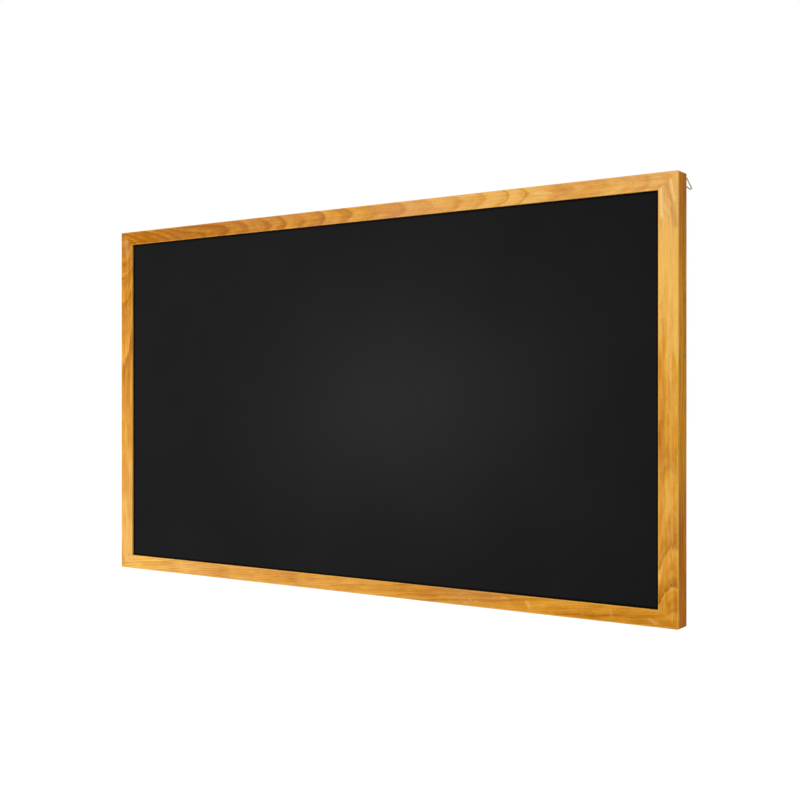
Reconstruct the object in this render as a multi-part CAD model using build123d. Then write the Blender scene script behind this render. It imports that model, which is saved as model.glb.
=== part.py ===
"""Wall chalkboard: a mitred oak frame round a black writing panel, with two hanging rings behind.

+X runs to the right as seen from the front, +Y runs back towards the wall and +Z runs up.
The origin is the middle of the frame's back. Lengths are in millimetres and angles in degrees.
"""
from build123d import *
import os
from math import acos, asin, atan2, cos, degrees, hypot, radians, sin, tan

# Board
BOARD_WIDTH = 1066.8
BOARD_HEIGHT = 609.6
FRAME_DEPTH = 28.6
OVERRUN = 5.0                 # how far a cutting solid passes beyond what it cuts

# Oak frame
STILE_WIDTH = 29.0
RAIL_WIDTH = 23.6
LIP_THICKNESS = 3.0           # wood in front of the panel
LIP_OVERLAP = 8.0             # how far the lip reaches over the panel's edge
CORNER_RADIUS = 2.0           # outer corners, seen from the front
FRONT_EASING = 1.2            # outer front edges
SIGHT_EASING = 0.8            # front edges beside the panel
BACK_EASING = 0.6             # outer back edges

# Writing panel, from the front
SHEET_THICKNESS = 0.6
CORE_THICKNESS = 9.5
BACKING_THICKNESS = 0.4
PANEL_CLEARANCE = 0.8         # between the panel's edge and the rebate's wall

# V nails in the back of each mitre
NAIL_COUNT = 2
NAIL_GAUGE = 0.7
NAIL_LEG = 5.5
NAIL_SPREAD = 90.0            # angle between the two legs
NAIL_DEPTH = 10.0
NAIL_INSET = 6.6              # from the outer corner to the first nail, along the mitre
NAIL_PITCH = 9.0

# Flat points that hold the panel against the lip
POINT_GAUGE = 0.5
POINT_WIDTH = 8.0
POINT_TAIL = 8.5              # the part that lies on the panel
POINT_BITE = 6.0              # the part driven into the wood
RAIL_POINT_COUNT = 4
STILE_POINT_COUNT = 3

# Hanger: a folded strap with a rolled eye
HANGER_INSET = 6.9            # from the board's side to the strap's middle
HANGER_DROP = 5.9             # from the board's top to the eye's axis
STRAP_GAUGE = 0.9
STRAP_WIDTH = 8.0
STRAP_LENGTH = 21.0           # from the eye's axis to the strap's end
STRAP_NECK = 4.5              # from the eye's axis to where the two layers meet
STRAP_END_RADIUS = 2.5
EYE_CLEARANCE = 0.08          # radial, between the eye and the ring's wire

# Hanger ring: a long triangle of round wire
RING_WIRE = 1.8
RING_BASE = 12.5              # width of the side that turns in the eye, along the wire's middle
RING_LENGTH = 32.0            # from the eye's axis to the far end, along the wire's middle
RING_BEND = 1.6
RING_TIP_BEND = 2.0
RING_REST_ANGLE = 108.0       # back and down from straight up

# Hanger screw: a pan head wood screw
SCREW_DROP = 13.7             # from the eye's axis to the screw
SCREW_SHANK = 3.0
SCREW_LENGTH = 13.0
SCREW_POINT = 3.0             # length of the tapered point
SCREW_CLEARANCE = 0.3         # radial, in the strap's hole
HEAD_WIDTH = 6.5
HEAD_HEIGHT = 2.2
HEAD_EASING = 1.3
RECESS_SPAN = 3.4
RECESS_WIDTH = 0.9
RECESS_DEPTH = 1.2

# Bumper pads
BUMPER_WIDTH = 12.0
BUMPER_HEIGHT = 3.2
BUMPER_EASING = 1.6
BUMPER_INSET = 10.0           # from the board's side
BUMPER_RISE = 14.0            # from the board's bottom

# Places worked out from the sizes above
FRONT_Y = -FRAME_DEPTH
SHEET_FRONT_Y = FRONT_Y + LIP_THICKNESS
CORE_FRONT_Y = SHEET_FRONT_Y + SHEET_THICKNESS
BACKING_FRONT_Y = CORE_FRONT_Y + CORE_THICKNESS
PANEL_BACK_Y = BACKING_FRONT_Y + BACKING_THICKNESS
SIGHT_WIDTH = BOARD_WIDTH - 2 * STILE_WIDTH
SIGHT_HEIGHT = BOARD_HEIGHT - 2 * RAIL_WIDTH
REBATE_WIDTH = SIGHT_WIDTH + 2 * LIP_OVERLAP
REBATE_HEIGHT = SIGHT_HEIGHT + 2 * LIP_OVERLAP
PANEL_WIDTH = REBATE_WIDTH - 2 * PANEL_CLEARANCE
PANEL_HEIGHT = REBATE_HEIGHT - 2 * PANEL_CLEARANCE
EYE_BORE_RADIUS = RING_WIRE / 2 + EYE_CLEARANCE
EYE_RADIUS = EYE_BORE_RADIUS + STRAP_GAUGE
STRAP_THICKNESS = 2 * STRAP_GAUGE
EYE_Y = EYE_RADIUS
EYE_Z = BOARD_HEIGHT / 2 - HANGER_DROP
HANGER_X = BOARD_WIDTH / 2 - HANGER_INSET

# How far the outlines that part the frame run past the outer and inner ends of each mitre,
# as shares of the mitre's length
MITRE_OUTER_SHARE = -0.5
MITRE_INNER_SHARE = 1.5

SIDES = {"left": -1, "right": 1}
LEVELS = {"bottom": -1, "top": 1}


def slab(width, height, front, back):
    """A plate parallel to the wall, between two places along Y."""
    return Pos(0, (front + back) / 2, 0) * Box(width, back - front, height)


def spread_out(length, count):
    """Places of evenly spaced pieces along a length, about its middle."""
    pitch = length / count
    return [(number - (count - 1) / 2) * pitch for number in range(count)]


def mitre_place(side, level, share):
    """A place on a corner's mitre, from 0 at its outer end to 1 at its inner end."""
    x = side * (BOARD_WIDTH / 2 - share * STILE_WIDTH)
    z = level * (BOARD_HEIGHT / 2 - share * RAIL_WIDTH)
    return x, z


def frame_ring():
    """The whole oak frame in one piece, with its eased outer edges and the rebate behind."""
    ring = extrude(Plane.XZ * RectangleRounded(BOARD_WIDTH, BOARD_HEIGHT, CORNER_RADIUS), FRAME_DEPTH)
    ring = fillet(ring.faces().sort_by(Axis.Y)[0].edges(), FRONT_EASING)
    ring = fillet(ring.faces().sort_by(Axis.Y)[-1].edges(), BACK_EASING)
    ring -= slab(SIGHT_WIDTH, SIGHT_HEIGHT, FRONT_Y - OVERRUN, OVERRUN)
    return ring - slab(REBATE_WIDTH, REBATE_HEIGHT, SHEET_FRONT_Y, OVERRUN)


def mitre_wedge(first, second):
    """The space of one frame member, between the mitres at two corners."""
    outline = [mitre_place(*first, MITRE_OUTER_SHARE), mitre_place(*second, MITRE_OUTER_SHARE),
               mitre_place(*second, MITRE_INNER_SHARE), mitre_place(*first, MITRE_INNER_SHARE)]
    face = make_face(Polyline(*outline, close=True))
    return Pos(0, OVERRUN, 0) * extrude(Plane.XZ * face, FRAME_DEPTH + 2 * OVERRUN)


def frame_member(ring, first, second):
    """One rail or stile, parted from the ring at its mitres and eased beside the panel."""
    member = ring & mitre_wedge(first, second)
    front_edges = member.faces().sort_by(Axis.Y)[0].edges()
    sight_edge = front_edges.sort_by_distance((0, FRONT_Y, 0))[0]
    return fillet(sight_edge, SIGHT_EASING)


def nail_outline():
    """Plan of one V nail: its bend at the origin, its legs spreading along +X."""
    half = radians(NAIL_SPREAD / 2)
    tip_x = NAIL_LEG * cos(half)
    tip_y = NAIL_LEG * sin(half)
    inner_x = tip_x + NAIL_GAUGE * sin(half)
    inner_y = tip_y - NAIL_GAUGE * cos(half)
    bend_x = NAIL_GAUGE / sin(half)
    return make_face(Polyline((0, 0), (tip_x, tip_y), (inner_x, inner_y), (bend_x, 0),
                              (inner_x, -inner_y), (tip_x, -tip_y), close=True))


def corner_nails(side, level):
    """The V nails in the back of one mitre, their bends towards the outer corner."""
    angle = degrees(atan2(-level * RAIL_WIDTH, -side * STILE_WIDTH))
    mitre_length = hypot(STILE_WIDTH, RAIL_WIDTH)
    nails = []
    for number in range(NAIL_COUNT):
        share = (NAIL_INSET + number * NAIL_PITCH) / mitre_length
        x, z = mitre_place(side, level, share)
        plan = Pos(x, z) * Rot(0, 0, angle) * nail_outline()
        nails.append(extrude(Plane.XZ * plan, NAIL_DEPTH))
    return nails


def panel_point(x, z, angle):
    """One flat point at a place on the rebate's wall, its tip turned to an angle from +X."""
    half = POINT_WIDTH / 2
    outline = Polyline((-POINT_TAIL, -half), (0, -half), (POINT_BITE, 0), (0, half),
                       (-POINT_TAIL, half), close=True)
    plan = Pos(x, z) * Rot(0, 0, angle) * make_face(outline)
    return Pos(0, PANEL_BACK_Y + POINT_GAUGE, 0) * extrude(Plane.XZ * plan, POINT_GAUGE)


def rail_points(level):
    """The points along the top or bottom rail."""
    angle = degrees(atan2(level, 0))
    wall_z = level * REBATE_HEIGHT / 2
    return [panel_point(x, wall_z, angle) for x in spread_out(REBATE_WIDTH, RAIL_POINT_COUNT)]


def stile_points(side):
    """The points along one stile."""
    angle = degrees(atan2(0, side))
    wall_x = side * REBATE_WIDTH / 2
    return [panel_point(wall_x, z, angle) for z in spread_out(REBATE_HEIGHT, STILE_POINT_COUNT)]


def strap_profile():
    """Side view of the folded strap about the eye's axis: local X is back, local Y is up."""
    meet = (STRAP_THICKNESS - EYE_RADIUS, -STRAP_NECK)
    turn = atan2(meet[1], meet[0]) + acos(EYE_RADIUS / hypot(*meet))
    touch = (EYE_RADIUS * cos(turn), EYE_RADIUS * sin(turn))
    layers = Polyline((-EYE_RADIUS, 0), (-EYE_RADIUS, -STRAP_LENGTH),
                      (STRAP_THICKNESS - EYE_RADIUS, -STRAP_LENGTH), meet, touch, (0, 0), close=True)
    return Circle(EYE_RADIUS) + make_face(layers) - Circle(EYE_BORE_RADIUS)


def hanger_strap():
    """The strap about the eye's axis, with a rounded end and its screw hole."""
    strap = extrude(Plane.YZ * strap_profile(), STRAP_WIDTH / 2, both=True)
    end_edges = strap.edges().filter_by(Axis.Y).group_by(Axis.Z)[0]
    strap = fillet(end_edges, STRAP_END_RADIUS)
    hole = Cylinder(SCREW_SHANK / 2 + SCREW_CLEARANCE, 2 * (STRAP_THICKNESS + OVERRUN))
    return strap - Pos(0, 0, -SCREW_DROP) * Rot(90, 0, 0) * hole


def hanger_screw():
    """The pan head screw about the eye's axis, its head on the strap and its shank in the wood."""
    head = Cylinder(HEAD_WIDTH / 2, HEAD_HEIGHT, align=(Align.CENTER, Align.CENTER, Align.MIN))
    head = fillet(head.edges().group_by(Axis.Z)[-1], HEAD_EASING)
    recess_z = HEAD_HEIGHT - RECESS_DEPTH / 2
    head -= Pos(0, 0, recess_z) * Box(RECESS_SPAN, RECESS_WIDTH, RECESS_DEPTH)
    head -= Pos(0, 0, recess_z) * Box(RECESS_WIDTH, RECESS_SPAN, RECESS_DEPTH)
    straight = SCREW_LENGTH - SCREW_POINT
    shank = Pos(0, 0, -straight / 2) * Cylinder(SCREW_SHANK / 2, straight)
    point = Pos(0, 0, -straight - SCREW_POINT / 2) * Cone(0, SCREW_SHANK / 2, SCREW_POINT)
    return Pos(0, STRAP_THICKNESS - EYE_RADIUS, -SCREW_DROP) * Rot(-90, 0, 0) * (head + shank + point)


def hanger_ring():
    """The wire ring about the eye's axis, turned back to its rest angle."""
    half_base = RING_BASE / 2
    reach = RING_LENGTH - RING_TIP_BEND
    leg_angle = atan2(half_base, reach) - asin(RING_TIP_BEND / hypot(half_base, reach))
    apex = half_base / tan(leg_angle)
    path = FilletPolyline((-half_base, 0), (half_base, 0), (0, apex),
                          radius=[RING_BEND, RING_BEND, RING_TIP_BEND], close=True)
    section = Plane(origin=(0, 0, 0), z_dir=(1, 0, 0)) * Circle(RING_WIRE / 2)
    ring = sweep(section, path=path)
    return Rot(90 - RING_REST_ANGLE, 0, 0) * ring


def bumper():
    """A domed pad that stands on the frame's back."""
    pad = Cylinder(BUMPER_WIDTH / 2, BUMPER_HEIGHT, align=(Align.CENTER, Align.CENTER, Align.MIN))
    pad = fillet(pad.edges().group_by(Axis.Z)[-1], BUMPER_EASING)
    return Rot(-90, 0, 0) * pad


def pieces():
    """Every piece of the board, by name."""
    ring = frame_ring()
    parts = {}
    for level_name, level in LEVELS.items():
        points = rail_points(level)
        parts[level_name + "_rail"] = frame_member(ring, (-1, level), (1, level))
        parts[level_name + "_rail"] -= points
        parts[level_name + "_panel_points"] = Compound(points)
    for side_name, side in SIDES.items():
        points = stile_points(side)
        eye = Pos(side * HANGER_X, EYE_Y, EYE_Z)
        screw = eye * hanger_screw()
        parts[side_name + "_stile"] = frame_member(ring, (side, -1), (side, 1))
        parts[side_name + "_stile"] -= points + [screw]
        parts[side_name + "_panel_points"] = Compound(points)
        parts[side_name + "_hanger_strap"] = eye * hanger_strap()
        parts[side_name + "_hanger_screw"] = screw
        parts[side_name + "_hanger_ring"] = eye * hanger_ring()
        pad_x = side * (BOARD_WIDTH / 2 - BUMPER_INSET)
        parts[side_name + "_bumper"] = Pos(pad_x, 0, BUMPER_RISE - BOARD_HEIGHT / 2) * bumper()
    for level_name, level in LEVELS.items():
        for side_name, side in SIDES.items():
            nails = corner_nails(side, level)
            parts[level_name + "_rail"] -= nails
            parts[side_name + "_stile"] -= nails
            parts[level_name + "_" + side_name + "_corner_nails"] = Compound(nails)
    parts["writing_sheet"] = slab(PANEL_WIDTH, PANEL_HEIGHT, SHEET_FRONT_Y, CORE_FRONT_Y)
    parts["core_board"] = slab(PANEL_WIDTH, PANEL_HEIGHT, CORE_FRONT_Y, BACKING_FRONT_Y)
    parts["backing_sheet"] = slab(PANEL_WIDTH, PANEL_HEIGHT, BACKING_FRONT_Y, PANEL_BACK_Y)
    return parts


os.makedirs("parts", exist_ok=True)
for name, piece in pieces().items():
    export_step(piece, f"parts/{name}.step")
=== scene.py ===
"""The looks of a wall chalkboard: stained oak, a matte black writing sheet and plated hanging hardware."""
import math

import bpy
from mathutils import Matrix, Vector


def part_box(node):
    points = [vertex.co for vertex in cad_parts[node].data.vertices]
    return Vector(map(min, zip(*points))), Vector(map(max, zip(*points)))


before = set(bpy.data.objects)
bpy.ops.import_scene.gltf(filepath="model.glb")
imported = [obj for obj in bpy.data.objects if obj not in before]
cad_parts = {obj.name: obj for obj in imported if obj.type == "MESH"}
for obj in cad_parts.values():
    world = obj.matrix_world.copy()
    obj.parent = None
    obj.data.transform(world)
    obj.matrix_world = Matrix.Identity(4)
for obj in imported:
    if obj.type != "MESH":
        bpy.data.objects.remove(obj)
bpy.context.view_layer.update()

# Camera: level, at the board's mid height and to its right. Lengths are in metres.
CAMERA_PLACE = (1.1350, -1.5521, 0.0)
CAMERA_TILT = math.radians(90)
CAMERA_TURN = math.radians(34.574)
CAMERA_LENS = 54.204
SENSOR_WIDTH = 36.0

# Light: an even room, a broad key lamp high on the left, and a weak lamp whose sheen falls on the panel
ROOM_STRENGTH = 0.49
KEY_STRENGTH = 0.82
KEY_SPREAD = math.radians(12)
KEY_FROM = (-0.50, -0.72, 0.50)
SHEEN_DISTANCE = 4.0
SHEEN_SIZE = 0.45
SHEEN_POWER = 46.0
SHEEN_SHIFT = 0.05

# Floor: wide and pale, well below the board
FLOOR_DROP = 0.9
FLOOR_REACH = 30.0
FLOOR_GLOW = 0.52
FLOOR_ROUGHNESS = 0.8
FLOOR_SPECULAR = 0.1

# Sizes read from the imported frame
STILE_LOW, STILE_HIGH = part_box("right_stile")
RAIL_LOW, RAIL_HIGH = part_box("top_rail")
HALF_WIDTH = STILE_HIGH.x
HALF_HEIGHT = RAIL_HIGH.z
STILE_WIDTH = STILE_HIGH.x - STILE_LOW.x
RAIL_WIDTH = RAIL_HIGH.z - RAIL_LOW.z
FRONT_Y = STILE_LOW.y

# Lines and edges, each by the two distances between which it fades out or in
MITRE_LINE = (0.0001, 0.0004)
# The next two bound the paler edges of the wood: partly stain rubbed thin, partly a painted highlight
ARRIS_WEAR_AND_HIGHLIGHT = (0.0010, 0.0026)
LIP_WEAR_AND_HIGHLIGHT = (0.0006, 0.0020)
LIP_DEPTH = (0.002, 0.004)
SIDE_SKIN = (0.0002, 0.0012)
SIDE_START = (0.0012, 0.0026)
MARK_SKIN = (FRONT_Y + 0.001, FRONT_Y + 0.004)
# Width of the painted shadow of the frame's lip along the panel's edges
PANEL_RIM_SHADOW = (0.0018, 0.0045)

# Most of the noise lies between these
NOISE_LOW = 0.3
NOISE_HIGH = 0.7
NOISE_MIDDLE = 0.5


def shade(red, green, blue):
    """A colour from 0 to 255 steps, as the linear values that Blender's shaders take."""
    def linear(step):
        share = step / 255
        return share / 12.92 if share <= 0.04045 else ((share + 0.055) / 1.055) ** 2.4
    return linear(red), linear(green), linear(blue), 1.0


# Room and floor
WHITE = (1.0, 1.0, 1.0, 1.0)
FLOOR_GREY = shade(238, 238, 238)

# Oak under honey stain
PALE_OAK = shade(250, 194, 96)
HONEY_OAK = shade(225, 155, 47)
AMBER_OAK = shade(182, 108, 8)
ROSY_OAK = shade(230, 166, 110)
EARLY_WOOD = shade(146, 84, 34)
PORE_BROWN = shade(96, 54, 22)
RAY_CREAM = shade(254, 216, 142)
GLUE_BROWN = shade(120, 72, 24)
# Paler honey for the arrises and the lips of the sight edges: partly rubbed stain, partly a painted
# highlight
WORN_HONEY_HIGHLIGHT = shade(252, 188, 84)
SIDE_TINT = shade(255, 226, 112)

# Chalk coating, bare fibreboard, primer and rubber
CHALK_DEEP = shade(22, 22, 23)
CHALK_BLACK = shade(25, 25, 26)
# Near black for the painted shadow of the frame's lip on the panel
CHALK_RIM_SHADOW = shade(5, 5, 6)
BOARD_BROWN = shade(120, 92, 62)
BOARD_TAN = shade(164, 132, 94)
PRIMER_GREY = shade(176, 172, 164)
PRIMER_PALE = shade(182, 178, 170)
PRIMER_SPECK = shade(140, 136, 128)
RUBBER_DARK = shade(44, 42, 40)
RUBBER_BLOOM = shade(74, 70, 66)

# Each plating: its bright and its dull colour, its least roughness and how the names of its nodes end
PLATINGS = {
    "zinc_plate": (shade(196, 196, 194), shade(168, 168, 166), 0.34, ("_nails", "_points")),
    "antique_brass": (shade(166, 151, 124), shade(134, 117, 88), 0.30, ("_strap", "_ring")),
    "screw_brass": (shade(196, 170, 112), shade(164, 138, 86), 0.28, ("_screw",)),
}
PLATING_WEAR = 0.12


# Nodes
def feed(tree, node, sockets):
    """Gives a node's sockets plain values, or links them to the outputs that feed them."""
    for name, value in sockets.items():
        if isinstance(value, bpy.types.NodeSocket):
            tree.links.new(value, node.inputs[name])
        else:
            node.inputs[name].default_value = value


def add(tree, kind, sockets=None, **settings):
    """A new node with its settings and its sockets."""
    node = tree.nodes.new("ShaderNode" + kind)
    for name, value in settings.items():
        setattr(node, name, value)
    feed(tree, node, sockets or {})
    return node


def calculate(tree, operation, *values):
    """One step of arithmetic on numbers."""
    return add(tree, "Math", dict(enumerate(values)), operation=operation).outputs[0]


def difference(tree, first, second):
    """The first value less the second."""
    return calculate(tree, "SUBTRACT", first, second)


def total(tree, *values):
    """Values added up."""
    result = values[0]
    for value in values[1:]:
        result = calculate(tree, "ADD", result, value)
    return result


def product(tree, *values):
    """Values multiplied together."""
    result = values[0]
    for value in values[1:]:
        result = calculate(tree, "MULTIPLY", result, value)
    return result


def remap(tree, value, low, high, to_low=0.0, to_high=1.0, smooth=True):
    """A value moved from one range to another, with soft ends where it is smooth."""
    kind = "SMOOTHSTEP" if smooth else "LINEAR"
    sockets = {"Value": value, "From Min": low, "From Max": high, "To Min": to_low, "To Max": to_high}
    return add(tree, "MapRange", sockets, interpolation_type=kind).outputs["Result"]


def spread(tree, value, to_low=0.0, to_high=1.0):
    """Noise moved to a range of its own."""
    return remap(tree, value, NOISE_LOW, NOISE_HIGH, to_low, to_high)


def fade(tree, value, ends):
    """1 up to the first of two distances, and 0 from the second."""
    return remap(tree, value, *ends, 1.0, 0.0)


def ramp(tree, value, stops):
    """A colour that changes with a value. Each stop is a place from 0 to 1 and its colour."""
    node = add(tree, "ValToRGB", {0: value})
    elements = node.color_ramp.elements
    while len(elements) < len(stops):
        elements.new(1.0)
    for element, (place, colour) in zip(elements, stops):
        element.position = place
        element.color = colour
    return node.outputs[0]


def profile(tree, value, stops):
    """A number that changes with a value, as ramp() does with a colour."""
    levels = [level for place, level in stops]
    low = min(levels)
    span = max(levels) - low
    shares = [(place, (level - low) / span) for place, level in stops]
    result = ramp(tree, value, [(place, (part, part, part, 1.0)) for place, part in shares])
    return calculate(tree, "MULTIPLY_ADD", result, span, low)


def mix_colours(tree, factor, first, second, way="MIX"):
    """Two colours mixed by a factor. A Mix node takes colours at its sockets 6 and 7."""
    sockets = {0: factor, 6: first, 7: second}
    return add(tree, "Mix", sockets, data_type="RGBA", blend_type=way).outputs[2]


def vector(tree, operation, *values):
    """One step of arithmetic on vectors."""
    return add(tree, "VectorMath", dict(enumerate(values)), operation=operation).outputs


def stretch(tree, place, factors):
    """A place stretched along its three axes."""
    return vector(tree, "MULTIPLY", place, factors)[0]


def noise(tree, place, scale=1.0, detail=2.0, roughness=0.5):
    """Soft noise from 0 to 1."""
    sockets = {"Vector": place, "Scale": scale, "Detail": detail, "Roughness": roughness}
    return add(tree, "TexNoise", sockets).outputs["Fac"]


def new_group(name, inputs, outputs):
    """An empty node group: the group, its input values and the node that takes its results."""
    group = bpy.data.node_groups.new(name, "ShaderNodeTree")
    for label, kind in inputs.items():
        group.interface.new_socket(name=label, in_out="INPUT", socket_type="NodeSocket" + kind)
    for label in outputs:
        group.interface.new_socket(name=label, in_out="OUTPUT", socket_type="NodeSocketFloat")
    return group, group.nodes.new("NodeGroupInput").outputs, group.nodes.new("NodeGroupOutput")


def use_group(tree, group, sockets):
    """A group placed in a material."""
    return add(tree, "Group", sockets, node_tree=group).outputs


def new_material(name):
    """A material with a lone Principled shader, its tree and its shader."""
    material = bpy.data.materials.new(name)
    material.use_nodes = True
    tree = material.node_tree
    tree.nodes.clear()
    shader = add(tree, "BsdfPrincipled")
    add(tree, "OutputMaterial", {"Surface": shader.outputs[0]})
    return material, tree, shader


def own_place(tree):
    """The place in the piece's own frame."""
    return add(tree, "TexCoord").outputs["Object"]


def finish_surface(tree, shader, colour, roughness, height, strength, distance):
    """Feeds the shader a changing colour, a roughness and a relief."""
    bump = add(tree, "Bump", {"Height": height, "Strength": strength, "Distance": distance}).outputs[0]
    feed(tree, shader, {"Base Color": colour, "Roughness": roughness, "Normal": bump})


def inside(tree, part, edge):
    """How far inside an edge a place lies, on either side of the middle."""
    return difference(tree, edge, calculate(tree, "ABSOLUTE", part))


# Oak

# The kinds of noise in the wood: how fine each is along, across and in depth, its detail and its roughness
WOOD_NOISE = {
    "drift": ((9.0, 42.0, 42.0), 2.0, 0.5),
    "jitter": ((26.0, 800.0, 800.0), 2.0, 0.5),
    "lines": ((1.0, 12.0, 60.0), 2.0, 0.5),
    "vessels": ((260.0, 2600.0, 2600.0), 1.0, 0.5),
    "fibres": ((22.0, 700.0, 700.0), 4.0, 0.65),
    "streaks": ((9.0, 210.0, 210.0), 2.0, 0.5),
    "rays": ((110.0, 150.0, 200.0), 2.0, 0.5),
    "mottle": ((34.0, 110.0, 110.0), 3.0, 0.6),
    "clouds": ((7.0, 26.0, 26.0), 2.0, 0.5),
}

# The rings: how fine and how wide the pith sways along the member, how much the years jitter and how many
# lines a year has
SWAY_SCALE = 16.0
SWAY_WIDTH = 0.010
YEAR_JITTER = 0.32
LINES_PER_YEAR = 4.5

# A year, in shares of it: once the spring wood has darkened it fades, one part of it at once and the other
# slowly, and the late wood comes in before the year's end
EDGE_PART = 0.45
EDGE_LENGTH = 0.11
TAIL_PART = 0.55
TAIL_DELAY = 0.07
TAIL_END = 0.6
LATE_WOOD_RANGE = (0.45, 0.95)

# The noise above which there are pores and rays, and how much the spring wood lowers it for pores
PORE_LIMIT = 0.67
PORE_EDGE = 0.05
SPRING_PORES = 0.06
RAY_RANGE = (0.62, 0.8)

GROWTH_INPUTS = ("Along", "Across", "Depth", "Years Passed", "Pith Across", "Pith Depth", "Run Out",
                 "Ring Width", "Onset", "Wander", "Seed")
GROWTH_OUTPUTS = ("Early Wood", "Late Wood", "Year", "Lines", "Pores", "Fibres", "Streaks", "Rays", "Mottle",
                  "Clouds")


def wood_noise(tree, place, kind):
    """One kind of the wood's noise."""
    fineness, detail, roughness = WOOD_NOISE[kind]
    return noise(tree, stretch(tree, place, fineness), detail=detail, roughness=roughness)


def make_oak_growth():
    """Yearly rings of the log that a member was sawn from, with its open pores, fibres and rays."""
    tree, given, result = new_group("oak_growth", dict.fromkeys(GROWTH_INPUTS, "Float"), GROWTH_OUTPUTS)
    across = difference(tree, given["Across"], product(tree, given["Along"], given["Run Out"]))
    along = total(tree, given["Along"], given["Seed"])
    place = add(tree, "CombineXYZ", {0: along, 1: across, 2: given["Depth"]}).outputs[0]

    sway = noise(tree, add(tree, "CombineXYZ", {0: along}).outputs[0], SWAY_SCALE)
    sway = difference(tree, sway, NOISE_MIDDLE)
    side = difference(tree, across, given["Pith Across"])
    side = calculate(tree, "MULTIPLY_ADD", sway, product(tree, given["Wander"], SWAY_WIDTH), side)
    back = difference(tree, given["Depth"], given["Pith Depth"])
    squares = total(tree, product(tree, side, side), product(tree, back, back))
    front = difference(tree, FRONT_Y, given["Pith Depth"])
    radius = total(tree, calculate(tree, "SQRT", squares), front)
    drift = difference(tree, wood_noise(tree, place, "drift"), NOISE_MIDDLE)
    jitter = difference(tree, wood_noise(tree, place, "jitter"), NOISE_MIDDLE)
    years = total(tree, given["Years Passed"], calculate(tree, "DIVIDE", radius, given["Ring Width"]),
                  product(tree, drift, given["Wander"]), product(tree, jitter, YEAR_JITTER))

    season = calculate(tree, "FRACT", years)
    count = calculate(tree, "FLOOR", years)
    year = add(tree, "TexWhiteNoise", {"W": count}, noise_dimensions="1D").outputs["Value"]
    onset = given["Onset"]
    edge = remap(tree, season, onset, total(tree, onset, EDGE_LENGTH), EDGE_PART, 0.0)
    tail = remap(tree, season, total(tree, onset, TAIL_DELAY), TAIL_END, TAIL_PART, 0.0)
    early = product(tree, remap(tree, season, 0.0, onset), total(tree, edge, tail))
    ending = remap(tree, season, difference(tree, 1.0, onset), 1.0, 1.0, 0.0)
    late = product(tree, remap(tree, season, *LATE_WOOD_RANGE), ending)
    steps = product(tree, years, LINES_PER_YEAR)
    steps = add(tree, "CombineXYZ", {0: steps, 1: along, 2: across}).outputs[0]

    limit = difference(tree, PORE_LIMIT, product(tree, early, SPRING_PORES))
    pores = difference(tree, wood_noise(tree, place, "vessels"), limit)
    feed(tree, result, {
        "Early Wood": early,
        "Late Wood": late,
        "Year": year,
        "Lines": wood_noise(tree, steps, "lines"),
        "Pores": remap(tree, pores, 0.0, PORE_EDGE),
        "Fibres": wood_noise(tree, place, "fibres"),
        "Streaks": wood_noise(tree, place, "streaks"),
        "Rays": remap(tree, wood_noise(tree, place, "rays"), *RAY_RANGE),
        "Mottle": wood_noise(tree, place, "mottle"),
        "Clouds": wood_noise(tree, place, "clouds")})
    return tree


def make_frame_lines():
    """Masks of the four glued mitres, of the arrises, where the stain has rubbed thin and a highlight is
    painted, and of the sides.
    """
    tree, given, result = new_group("frame_lines", {"Place": "Vector"}, ("Mitre", "Arris", "Sides"))
    parts = add(tree, "SeparateXYZ", {0: given["Place"]}).outputs
    in_x = inside(tree, parts["X"], HALF_WIDTH)
    in_z = inside(tree, parts["Z"], HALF_HEIGHT)
    in_y = difference(tree, parts["Y"], FRONT_Y)
    diagonal = math.hypot(STILE_WIDTH, RAIL_WIDTH)
    to_mitre = difference(tree, product(tree, in_x, RAIL_WIDTH / diagonal),
                          product(tree, in_z, STILE_WIDTH / diagonal))
    to_outside = calculate(tree, "MINIMUM", in_x, in_z)
    to_sight = calculate(tree, "MAXIMUM", difference(tree, STILE_WIDTH, in_x),
                         difference(tree, RAIL_WIDTH, in_z))
    squares = total(tree, product(tree, to_outside, to_outside), product(tree, in_y, in_y))
    to_arris = calculate(tree, "SQRT", squares)
    lip = product(tree, fade(tree, calculate(tree, "ABSOLUTE", to_sight), LIP_WEAR_AND_HIGHLIGHT),
                  fade(tree, in_y, LIP_DEPTH))
    feed(tree, result, {
        "Mitre": fade(tree, calculate(tree, "ABSOLUTE", to_mitre), MITRE_LINE),
        "Arris": calculate(tree, "MAXIMUM", fade(tree, to_arris, ARRIS_WEAR_AND_HIGHLIGHT), lip),
        "Sides": product(tree, fade(tree, to_outside, SIDE_SKIN), remap(tree, in_y, *SIDE_START))})
    return tree


OAK_GROWTH = make_oak_growth()
FRAME_LINES = make_frame_lines()

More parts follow.
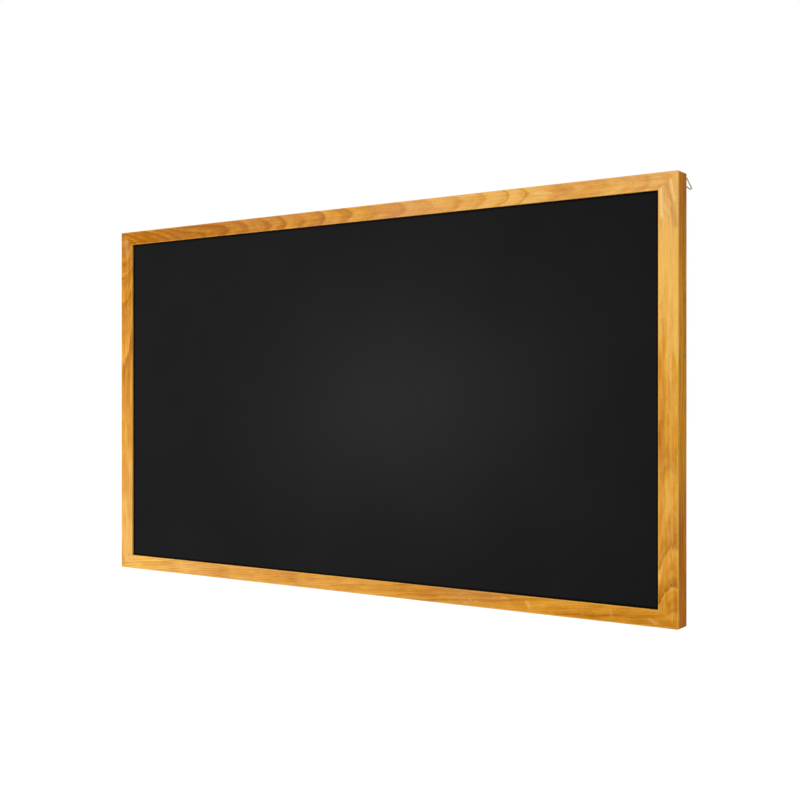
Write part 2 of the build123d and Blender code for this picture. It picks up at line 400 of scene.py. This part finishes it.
# How each oak member was sawn and how its stain took. Places along and across it are in metres from its
# middle. A course is one level, or levels at places along the member.
#   run, the axis that the member runs along
#   depth, how far behind the front face the pith lies
#   run_out, how far the grain leans across for each metre along
#   wander, how unsteady the rings are
#   seed, where in the noise the member lies
#   onset, the share of a year in which the spring wood darkens
#   figure, how much the colour varies between the rings and along them
#   rays, how strongly the pale rays show
#   soak, the course of the extra stain that the spring wood takes
#   axis, the course of the pith's place across
#   ring, the course of the rings' width, below 0 where the years count towards the pith
#   rings, the course of the years passed in front of the pith, where the arches have their tips
#   contrast, the course of how dark the spring wood is
#   stain, the course of the stain on the front, from pale at 0 to amber at 1
#   side, the course of the stain on the outer side
#   rosy, the course of how rosy the wood is
#   marks, its streaks, flecks and holes: colour, two ends along and across, width and strength
OAK_MEMBERS = {
    "top_rail": dict(
        run="X", depth=0.032, run_out=0.0, wander=0.5, seed=1.3, onset=0.12, figure=0.12, rays=0.08,
        soak=((-0.533, 0.25), (0.2, 0.25), (0.26, 0.45), (0.31, 0.45), (0.35, 0.12), (0.45, 0.04),
              (0.533, 0.04)),
        axis=((-0.533, -0.020), (-0.40, -0.018), (-0.28, -0.004), (0.0, 0.0), (0.533, 0.002)),
        ring=((-0.533, -0.0048), (-0.3, -0.0046), (-0.2, -0.0055), (0.05, -0.0055), (0.533, -0.0052)),
        rings=((-0.533, -0.2), (-0.374, -6.0), (-0.275, -7.88), (-0.228, -8.88), (-0.178, -9.88),
               (-0.145, -10.88), (-0.105, -11.88), (-0.062, -12.88), (-0.010, -13.88), (0.035, -14.88),
               (0.090, -15.88), (0.145, -16.88), (0.197, -17.88), (0.235, -18.88), (0.275, -19.88),
               (0.303, -20.88), (0.370, -21.88), (0.432, -22.88), (0.470, -23.88), (0.492, -24.88),
               (0.533, -26.2)),
        contrast=((-0.533, 0.8), (-0.3, 0.8), (-0.275, 0.65), (-0.228, 0.2), (-0.178, 0.35), (-0.145, 0.35),
                  (-0.105, 0.15), (-0.062, 0.35), (-0.01, 0.15), (0.035, 0.1), (0.145, 0.05), (0.235, 0.0),
                  (0.275, 0.12), (0.303, 0.12), (0.35, 0.05), (0.432, 0.12), (0.533, 0.0)),
        stain=((-0.533, 0.90), (-0.46, 0.95), (-0.38, 0.90), (-0.342, 0.80), (-0.307, 0.95), (-0.27, 0.90),
               (-0.204, 0.96), (-0.16, 0.82), (-0.108, 0.88), (-0.077, 0.72), (-0.046, 0.80), (0.014, 0.76),
               (0.06, 0.56), (0.12, 0.38), (0.154, 0.10), (0.18, 0.05), (0.206, 0.20), (0.29, -0.14),
               (0.31, -0.13), (0.34, 0.42), (0.378, 0.66), (0.40, 0.58), (0.446, 0.34), (0.533, 0.0)),
        side=0.4,
        rosy=((-0.533, 0.0), (-0.46, 0.0), (-0.41, 0.12), (-0.3, 0.12), (-0.2, 0.35), (-0.08, 0.55),
              (0.05, 0.7), (0.17, 0.5), (0.27, 0.2), (0.32, 0.25), (0.365, 0.7), (0.40, 1.2), (0.43, 0.9),
              (0.47, 0.6), (0.533, 0.5)),
        marks=(("pale", (0.318, 0.002), (0.345, 0.0), 0.0022, 0.5),
               ("pale", (0.325, -0.005), (0.340, -0.006), 0.0018, 0.5))),
    "bottom_rail": dict(
        run="X", depth=0.020, run_out=0.085, wander=1.0, seed=2.1, onset=0.03, figure=0.06, rays=0.22,
        soak=0.0,
        axis=((-0.533, 0.060), (0.533, 0.061)),
        ring=0.0036,
        rings=((-0.533, 0), (-0.2, 1), (0.25, 2), (0.533, 3)),
        contrast=((-0.533, 0.60), (-0.15, 0.45), (0.1, 0.20), (0.25, 0.0), (0.533, 0.0)),
        stain=((-0.533, 0.0), (-0.491, 0.0), (-0.453, 0.32), (-0.415, 0.28), (-0.378, 0.04), (-0.342, 0.06),
               (-0.307, 0.38), (-0.238, 0.38), (-0.17, 0.56), (-0.07, 0.36), (0.03, 0.36), (0.085, 0.74),
               (0.13, 0.80), (0.22, 0.72), (0.533, 0.67)),
        side=0.4,
        rosy=((-0.533, 0.2), (-0.4, 0.3), (-0.2, 0.6), (-0.12, 0.3), (0.0, 0.15), (0.06, 0.2), (0.2, 0.35),
              (0.3, 0.1), (0.35, 0.0), (0.533, 0.0)),
        marks=(("brown", (-0.288, 0.004), (-0.278, -0.003), 0.020, 0.30),
               ("brown", (-0.130, 0.003), (-0.124, -0.005), 0.014, 0.34),
               ("pale", (0.200, -0.0070), (0.206, -0.0078), 0.0020, 0.35),
               ("pale", (0.2105, -0.0010), (0.2115, -0.0026), 0.0018, 0.5),
               ("pale", (0.265, 0.0070), (0.274, 0.0050), 0.0026, 0.25),
               ("pale", (0.3075, 0.0020), (0.3095, -0.0040), 0.0034, 0.42),
               ("pale", (0.4355, 0.0060), (0.4370, -0.0040), 0.0018, 0.25),
               ("pale", (0.492, -0.0020), (0.502, -0.0060), 0.0036, 0.32))),
    "left_stile": dict(
        run="Z", depth=0.100, run_out=0.0, wander=0.35, seed=3.7, onset=0.03, figure=0.12, rays=0.10,
        soak=0.0,
        axis=((-0.305, -0.012), (0.1, -0.012), (0.305, -0.013)),
        ring=((-0.305, 0.012), (-0.02, 0.012), (0.06, 0.0045), (0.305, 0.0040)),
        rings=((-0.305, 0.55), (-0.05, 0.45), (0.062, 0), (0.175, -1), (0.221, -2), (0.250, -3), (0.278, -4),
               (0.305, -5)),
        contrast=((-0.305, 0.45), (0.0, 0.5), (0.1, 0.65), (0.305, 0.95)),
        stain=((-0.305, -0.05), (-0.22, 0.08), (-0.15, 0.22), (-0.04, 0.5), (0.15, 0.78), (0.176, 0.9),
               (0.198, 0.86), (0.242, 1.1), (0.264, 1.0), (0.305, 1.0)),
        side=0.4,
        rosy=((-0.305, 0.45), (-0.2, 0.35), (-0.08, 0.2), (0.0, 0.2), (0.15, 0.1), (0.305, 0.1)),
        marks=(("dark", (-0.281, 0.0046), (-0.280, 0.0050), 0.0016, 0.8),
               ("dark", (0.2215, -0.0115), (0.2235, -0.0095), 0.0018, 0.6),
               ("pale", (0.262, 0.0030), (0.296, -0.0030), 0.0110, 0.22),
               ("brown", (-0.300, -0.0080), (-0.268, -0.0130), 0.0050, 0.35))),
    "right_stile": dict(
        run="Z", depth=0.100, run_out=-0.012, wander=0.35, seed=4.2, onset=0.03, figure=0.12, rays=0.15,
        soak=0.0,
        axis=((-0.305, 0.006), (-0.18, 0.005), (-0.06, 0.002), (0.18, -0.011), (0.305, -0.012)),
        ring=((-0.305, 0.0036), (-0.06, 0.005), (0.02, 0.012), (0.305, 0.012)),
        rings=((-0.305, 0.2), (-0.282, 1), (-0.250, 2), (-0.198, 3), (-0.094, 4), (-0.05, 4.45),
               (0.305, 4.6)),
        contrast=((-0.305, 0.72), (-0.05, 0.78), (0.305, 0.7)),
        stain=((-0.305, 0.72), (-0.287, 0.72), (-0.271, 1.0), (-0.255, 0.9), (-0.237, 0.52), (-0.2, 0.42),
               (-0.13, 0.34), (-0.09, 0.58), (-0.048, 0.84), (-0.02, 0.62), (0.04, 0.42), (0.1, 0.22),
               (0.17, 0.06), (0.305, 0.0)),
        side=((-0.305, 0.85), (-0.27, 0.75), (-0.2, 0.58), (-0.17, 0.48), (-0.138, 0.18), (-0.1, -0.1),
              (-0.04, 0.02), (0.0, -0.05), (0.05, -0.2), (0.1, -0.15), (0.18, 0.0), (0.21, 0.25),
              (0.244, 0.38), (0.305, 0.6)),
        rosy=((-0.305, 0.1), (0.0, 0.12), (0.06, 0.0), (0.18, 0.1), (0.25, 0.5), (0.305, 0.6)),
        marks=(("brown", (0.296, -0.0030), (0.232, 0.0100), 0.0055, 0.35),
               ("pale", (0.296, 0.0022), (0.266, 0.0086), 0.0028, 0.85),
               ("pale", (0.290, -0.0112), (0.245, -0.0090), 0.0036, 0.95),
               ("pale", (0.268, 0.0005), (0.259, 0.0030), 0.0016, 0.6),
               ("pale", (0.262, -0.0060), (0.251, -0.0030), 0.0016, 0.6),
               ("pale", (0.256, -0.0010), (0.247, 0.0014), 0.0016, 0.55),
               ("pale", (0.249, -0.0080), (0.240, -0.0050), 0.0016, 0.5),
               ("dark", (-0.2462, 0.0036), (-0.2456, 0.0040), 0.0015, 0.9))),
}
MARK_COLOURS = {"pale": RAY_CREAM, "brown": EARLY_WOOD, "dark": PORE_BROWN}

# How fine the ragged edge of a mark is, and how far it strays along and across, in widths of the mark
MARK_FINENESS = (90.0, 260.0, 1.0)
MARK_SCALE = 5.0
MARK_DETAIL = 3.0
MARK_STRAY = (5.0, 2.0, 0.0)

# How much the wood's figure adds to the stain. The late wood's share is of the member's own figure.
CLOUD_STAIN = 0.16
MOTTLE_STAIN = 0.10
YEAR_STAIN = 0.10
LATE_WOOD_STAIN = -1.4

# How the figure shows: the two ends of the value that is read, and the strength or roughness at each
ROSY_CLOUDS = (NOISE_LOW, NOISE_HIGH, 0.2, 1.0)
ROSY_FIBRES = (0.35, 0.65, 0.6, 1.4)
BAND_YEARS = (0.0, 1.0, 0.35, 0.75)
BAND_MOTTLE = (0.3, 0.6, 0.6, 1.1)
DARK_FIBRES = (0.45, 0.75, 0.0, 0.30)
PALE_FIBRES = (0.25, 0.45, 0.25, 0.0)
SIDE_STREAKS = (0.45, 0.7, 0.0, 0.32)
SIDE_FIBRES = (0.48, 0.7, 0.0, 0.24)
# The next two set the paler edges: partly rubbed stain, partly a painted highlight
WORN_HIGHLIGHT_MOTTLE = (0.35, 0.6, 0.3, 0.6)
WORN_HIGHLIGHT_STAIN = (0.6, 1.0, 1.0, 0.5)
GLUE_SKIN = (0.0, 1.0, 0.4, 0.15)
OAK_ROUGHNESS = (0.2, 0.8, 0.38, 0.52)

# The fibres that roughen a mark and its share where they are least, and the strength of the pores, of the
# side's rays, of the fibres' relief and of the lacquer's gloss
MARK_FIBRES = (0.3, 0.6)
MARK_LEAST = 0.6
PORE_STRENGTH = 0.4
SIDE_RAYS = 0.35
FIBRE_RELIEF = 0.35
OAK_SPECULAR = 0.015


def make_wood_mark():
    """A soft ragged mask round a short line on a member's face."""
    inputs = {"Along": "Float", "Across": "Float", "Start": "Vector", "End": "Vector", "Width": "Float"}
    tree, given, result = new_group("wood_mark", inputs, ("Mask",))
    width = given["Width"]
    spot = add(tree, "CombineXYZ", {0: given["Along"], 1: given["Across"]}).outputs[0]
    sockets = {"Vector": stretch(tree, spot, MARK_FINENESS), "Scale": MARK_SCALE, "Detail": MARK_DETAIL}
    warp = add(tree, "TexNoise", sockets).outputs["Color"]
    warp = vector(tree, "SUBTRACT", warp, (NOISE_MIDDLE, NOISE_MIDDLE, NOISE_MIDDLE))[0]
    stray = stretch(tree, add(tree, "CombineXYZ", {0: width, 1: width}).outputs[0], MARK_STRAY)
    spot = vector(tree, "ADD", spot, stretch(tree, warp, stray))[0]

    run = vector(tree, "SUBTRACT", given["End"], given["Start"])[0]
    offset = vector(tree, "SUBTRACT", spot, given["Start"])[0]
    part = calculate(tree, "DIVIDE", vector(tree, "DOT_PRODUCT", offset, run)["Value"],
                     vector(tree, "DOT_PRODUCT", run, run)["Value"])
    held = remap(tree, part, 0.0, 1.0, smooth=False)
    nearest = add(tree, "VectorMath", {0: run, "Scale": held}, operation="SCALE").outputs[0]
    away = vector(tree, "DISTANCE", offset, nearest)["Value"]
    feed(tree, result, {"Mask": fade(tree, away, (0.0, width))})
    return tree


WOOD_MARK = make_wood_mark()


def oak(name):
    """Honey stained oak under a satin lacquer, with its grain along one frame member."""
    sawn = OAK_MEMBERS[name]
    material, tree, shader = new_material("oak_" + name)
    place = own_place(tree)
    parts = add(tree, "SeparateXYZ", {0: place}).outputs
    low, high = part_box(name)
    middle = (low + high) / 2
    # A member runs along X or Z, and the other of the two goes across it
    run = "XYZ".index(sawn["run"])
    cross = "ZYX".index(sawn["run"])
    half_run = (high[run] - low[run]) / 2
    along = parts[run]
    across = difference(tree, parts[cross], middle[cross])
    share = remap(tree, along, -half_run, half_run, smooth=False)

    def course(levels):
        """One level, or a number that changes along the member, from levels at places along it."""
        if isinstance(levels, float):
            return levels
        return profile(tree, share, [((spot + half_run) / (2 * half_run), level) for spot, level in levels])

    growth = use_group(tree, OAK_GROWTH, {
        "Along": along, "Across": across, "Depth": parts["Y"], "Years Passed": course(sawn["rings"]),
        "Pith Across": course(sawn["axis"]), "Pith Depth": FRONT_Y + sawn["depth"],
        "Run Out": sawn["run_out"], "Ring Width": course(sawn["ring"]), "Onset": sawn["onset"],
        "Wander": sawn["wander"], "Seed": sawn["seed"]})
    lines = use_group(tree, FRAME_LINES, {"Place": place})
    fibres = growth["Fibres"]

    figure = sawn["figure"]
    stain = remap(tree, lines["Sides"], 0.0, 1.0, course(sawn["stain"]), course(sawn["side"]), smooth=False)
    stain = total(tree, stain,
                  spread(tree, growth["Clouds"], -CLOUD_STAIN, CLOUD_STAIN),
                  spread(tree, growth["Mottle"], -MOTTLE_STAIN, MOTTLE_STAIN),
                  remap(tree, growth["Year"], 0.0, 1.0, -YEAR_STAIN, YEAR_STAIN),
                  spread(tree, growth["Lines"], -figure, figure),
                  spread(tree, growth["Streaks"], -figure, figure),
                  product(tree, growth["Late Wood"], LATE_WOOD_STAIN * figure),
                  product(tree, growth["Early Wood"], course(sawn["soak"])))
    wood = ramp(tree, stain, [(0.0, PALE_OAK), (0.5, HONEY_OAK), (1.0, AMBER_OAK)])
    rosy = product(tree, course(sawn["rosy"]), remap(tree, growth["Clouds"], *ROSY_CLOUDS),
                   remap(tree, fibres, *ROSY_FIBRES))
    wood = mix_colours(tree, rosy, wood, ROSY_OAK)
    band = product(tree, growth["Early Wood"], remap(tree, growth["Year"], *BAND_YEARS),
                   course(sawn["contrast"]), remap(tree, growth["Mottle"], *BAND_MOTTLE))
    wood = mix_colours(tree, band, wood, EARLY_WOOD)
    wood = mix_colours(tree, remap(tree, fibres, *DARK_FIBRES), wood, EARLY_WOOD)
    wood = mix_colours(tree, remap(tree, fibres, *PALE_FIBRES), wood, PALE_OAK)
    wood = mix_colours(tree, product(tree, growth["Rays"], sawn["rays"]), wood, RAY_CREAM)
    wood = mix_colours(tree, product(tree, growth["Pores"], PORE_STRENGTH), wood, PORE_BROWN)

    skin = fade(tree, parts["Y"], MARK_SKIN)
    for colour, start, end, width, strength in sawn["marks"]:
        ragged = remap(tree, fibres, *MARK_FIBRES, MARK_LEAST * strength, strength)
        mark = use_group(tree, WOOD_MARK, {
            "Along": along, "Across": across, "Start": (*start, 0.0), "End": (*end, 0.0), "Width": width})
        mask = product(tree, mark["Mask"], product(tree, ragged, skin))
        wood = mix_colours(tree, mask, wood, MARK_COLOURS[colour])

    wood = mix_colours(tree, lines["Sides"], wood, SIDE_TINT, "MULTIPLY")
    grain = total(tree, remap(tree, growth["Streaks"], *SIDE_STREAKS), remap(tree, fibres, *SIDE_FIBRES),
                  product(tree, growth["Rays"], SIDE_RAYS))
    wood = mix_colours(tree, product(tree, lines["Sides"], grain), wood, PORE_BROWN)
    # The arrises and the lips of the sight edges turn paler: partly rubbed stain, partly a painted highlight
    wear_and_highlight = product(tree, lines["Arris"], remap(tree, growth["Mottle"], *WORN_HIGHLIGHT_MOTTLE),
                   remap(tree, stain, *WORN_HIGHLIGHT_STAIN))
    wood = mix_colours(tree, wear_and_highlight, wood, WORN_HONEY_HIGHLIGHT)
    glue = product(tree, lines["Mitre"], remap(tree, skin, *GLUE_SKIN))
    wood = mix_colours(tree, glue, wood, GLUE_BROWN)

    height = difference(tree, product(tree, fibres, FIBRE_RELIEF), growth["Pores"])
    roughness = remap(tree, fibres, *OAK_ROUGHNESS)
    finish_surface(tree, shader, wood, roughness, height, strength=0.35, distance=0.0003)
    feed(tree, shader, {"Specular IOR Level": OAK_SPECULAR})
    return material


# The other finishes
def chalk_surface():
    """Matte black chalk coating with a fine tooth, and a painted shadow of the frame's lip along the panel's
    edges.
    """
    material, tree, shader = new_material("chalk_surface")
    place = own_place(tree)
    clouds = noise(tree, place, scale=5.0, detail=4.0, roughness=0.55)
    tooth = noise(tree, place, scale=1800.0, detail=2.0, roughness=0.6)
    coat = mix_colours(tree, spread(tree, clouds), CHALK_DEEP, CHALK_BLACK)
    parts = add(tree, "SeparateXYZ", {0: place}).outputs
    # Painted shadow of the frame's lip: darker near the edges of the panel
    in_x = inside(tree, parts["X"], HALF_WIDTH - STILE_WIDTH)
    in_z = inside(tree, parts["Z"], HALF_HEIGHT - RAIL_WIDTH)
    rim_shadow = fade(tree, calculate(tree, "MINIMUM", in_x, in_z), PANEL_RIM_SHADOW)
    coat = mix_colours(tree, rim_shadow, coat, CHALK_RIM_SHADOW)
    roughness = remap(tree, tooth, low=0.2, high=0.8, to_low=0.31, to_high=0.35)
    finish_surface(tree, shader, coat, roughness, tooth, strength=0.1, distance=0.0001)
    feed(tree, shader, {"Specular IOR Level": 0.02})
    return material


def make_plated_skin():
    """The dull patches and the fine drawn marks of plated steel."""
    tree, given, result = new_group("plated_skin", {"Place": "Vector"}, ("Patches", "Drawn Marks"))
    feed(tree, result, {
        "Patches": noise(tree, given["Place"], scale=420.0, detail=4.0, roughness=0.6),
        "Drawn Marks": noise(tree, stretch(tree, given["Place"], (900.0, 900.0, 4200.0)))})
    return tree


PLATED_SKIN = make_plated_skin()


def plated_metal(name, bright, dull, least_roughness):
    """Plated steel, dull in patches."""
    material, tree, shader = new_material(name)
    skin = use_group(tree, PLATED_SKIN, {"Place": own_place(tree)})
    patches = skin["Patches"]
    colour = mix_colours(tree, remap(tree, patches, low=0.4, high=0.75), bright, dull)
    roughness = spread(tree, patches, least_roughness, least_roughness + PLATING_WEAR)
    finish_surface(tree, shader, colour, roughness, skin["Drawn Marks"], strength=0.2, distance=0.0001)
    feed(tree, shader, {"Metallic": 1.0})
    return material


def fibreboard():
    """Bare brown fibreboard."""
    material, tree, shader = new_material("fibreboard")
    fibres = noise(tree, own_place(tree), scale=700.0, detail=4.0, roughness=0.7)
    colour = mix_colours(tree, fibres, BOARD_BROWN, BOARD_TAN)
    roughness = spread(tree, fibres, to_low=0.8, to_high=0.9)
    finish_surface(tree, shader, colour, roughness, fibres, strength=0.4, distance=0.0003)
    return material


def primed_sheet():
    """Dull grey primed sheet with faint roller streaks."""
    material, tree, shader = new_material("primed_sheet")
    place = own_place(tree)
    rolled = noise(tree, stretch(tree, place, (5.0, 1.0, 220.0)), detail=5.0, roughness=0.65)
    speckle = noise(tree, place, scale=900.0)
    colour = mix_colours(tree, spread(tree, rolled), PRIMER_GREY, PRIMER_PALE)
    specks = remap(tree, speckle, low=0.6, high=0.8, to_low=0.0, to_high=0.4)
    colour = mix_colours(tree, specks, colour, PRIMER_SPECK)
    roughness = spread(tree, rolled, to_low=0.5, to_high=0.58)
    finish_surface(tree, shader, colour, roughness, rolled, strength=0.1, distance=0.0001)
    return material


def soft_rubber():
    """Soft dark rubber with a dusty bloom."""
    material, tree, shader = new_material("soft_rubber")
    bloom = noise(tree, own_place(tree), scale=340.0, detail=4.0, roughness=0.6)
    colour = mix_colours(tree, remap(tree, bloom, low=0.4, high=0.8), RUBBER_DARK, RUBBER_BLOOM)
    roughness = remap(tree, bloom, low=0.3, high=0.8, to_low=0.6, to_high=0.8)
    finish_surface(tree, shader, colour, roughness, bloom, strength=0.3, distance=0.0002)
    return material


def dress(names, material):
    """Gives a material to CAD nodes."""
    for name in names:
        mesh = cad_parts[name].data
        mesh.materials.clear()
        mesh.materials.append(material)


def nodes_ending(endings):
    """The names of the CAD nodes that end in one of these ways."""
    return [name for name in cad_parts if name.endswith(endings)]


# Room, floor, lamps and camera
def straight_looks(tree):
    """1 for what looks straight at a surface, mirrors it or sees it through glass, and 0 for light."""
    path = add(tree, "LightPath").outputs
    seen = calculate(tree, "MAXIMUM", path["Is Camera Ray"], path["Is Glossy Ray"])
    return calculate(tree, "MAXIMUM", seen, path["Is Transmission Ray"])


def make_room():
    """Even soft light, and white behind the board."""
    world = bpy.data.worlds.new("room")
    bpy.context.scene.world = world
    world.use_nodes = True
    tree = world.node_tree
    tree.nodes.clear()
    strength = remap(tree, straight_looks(tree), 0.0, 1.0, ROOM_STRENGTH, 1.0, smooth=False)
    background = add(tree, "Background", {"Color": WHITE, "Strength": strength})
    add(tree, "OutputWorld", {"Surface": background.outputs[0]})


def make_floor():
    """A wide pale floor well below the board, which looks white apart from the board's shadow."""
    z = -HALF_HEIGHT - FLOOR_DROP
    corners = [(x * FLOOR_REACH, y * FLOOR_REACH, z) for x, y in ((-1, -1), (1, -1), (1, 1), (-1, 1))]
    mesh = bpy.data.meshes.new("floor")
    mesh.from_pydata(corners, [], [(0, 1, 2, 3)])
    floor = bpy.data.objects.new("floor", mesh)
    bpy.context.scene.collection.objects.link(floor)
    material, tree, shader = new_material("floor")
    feed(tree, shader, {
        "Base Color": FLOOR_GREY, "Roughness": FLOOR_ROUGHNESS, "Specular IOR Level": FLOOR_SPECULAR,
        "Emission Color": WHITE, "Emission Strength": product(tree, straight_looks(tree), FLOOR_GLOW)})
    mesh.materials.append(material)


def add_lamp(name, kind, place, target, **settings):
    """A lamp at a place, turned towards a point."""
    light = bpy.data.lights.new(name, kind)
    for setting, value in settings.items():
        setattr(light, setting, value)
    lamp = bpy.data.objects.new(name, light)
    lamp.location = place
    lamp.rotation_euler = (Vector(target) - lamp.location).to_track_quat("-Z", "Y").to_euler()
    bpy.context.scene.collection.objects.link(lamp)


def make_lamps():
    """The broad key lamp, and the weak lamp that the panel mirrors towards the camera."""
    add_lamp("key", "SUN", KEY_FROM, (0.0, 0.0, 0.0), energy=KEY_STRENGTH, angle=KEY_SPREAD)
    sheen_x = CAMERA_PLACE[0] + (CAMERA_PLACE[1] - FRONT_Y) * math.tan(CAMERA_TURN) + SHEEN_SHIFT
    sheen_from = (sheen_x - SHEEN_DISTANCE * math.sin(CAMERA_TURN),
                  FRONT_Y - SHEEN_DISTANCE * math.cos(CAMERA_TURN), 0.0)
    add_lamp("sheen", "AREA", sheen_from, (sheen_x, FRONT_Y, 0.0), shape="DISK", size=SHEEN_SIZE,
             energy=SHEEN_POWER)


def make_camera():
    """The photograph's view."""
    data = bpy.data.cameras.new("camera")
    data.lens = CAMERA_LENS
    data.sensor_width = SENSOR_WIDTH
    camera = bpy.data.objects.new("camera", data)
    camera.location = CAMERA_PLACE
    camera.rotation_euler = (CAMERA_TILT, 0.0, CAMERA_TURN)
    bpy.context.scene.collection.objects.link(camera)
    bpy.context.scene.camera = camera


bpy.context.scene.view_settings.view_transform = "Standard"
make_camera()
make_room()
make_floor()
make_lamps()

for member in OAK_MEMBERS:
    dress([member], oak(member))
dress(["writing_sheet"], chalk_surface())
dress(["core_board"], fibreboard())
dress(["backing_sheet"], primed_sheet())
for plating, (bright, dull, least_roughness, endings) in PLATINGS.items():
    dress(nodes_ending(endings), plated_metal(plating, bright, dull, least_roughness))
dress(nodes_ending("_bumper"), soft_rubber())
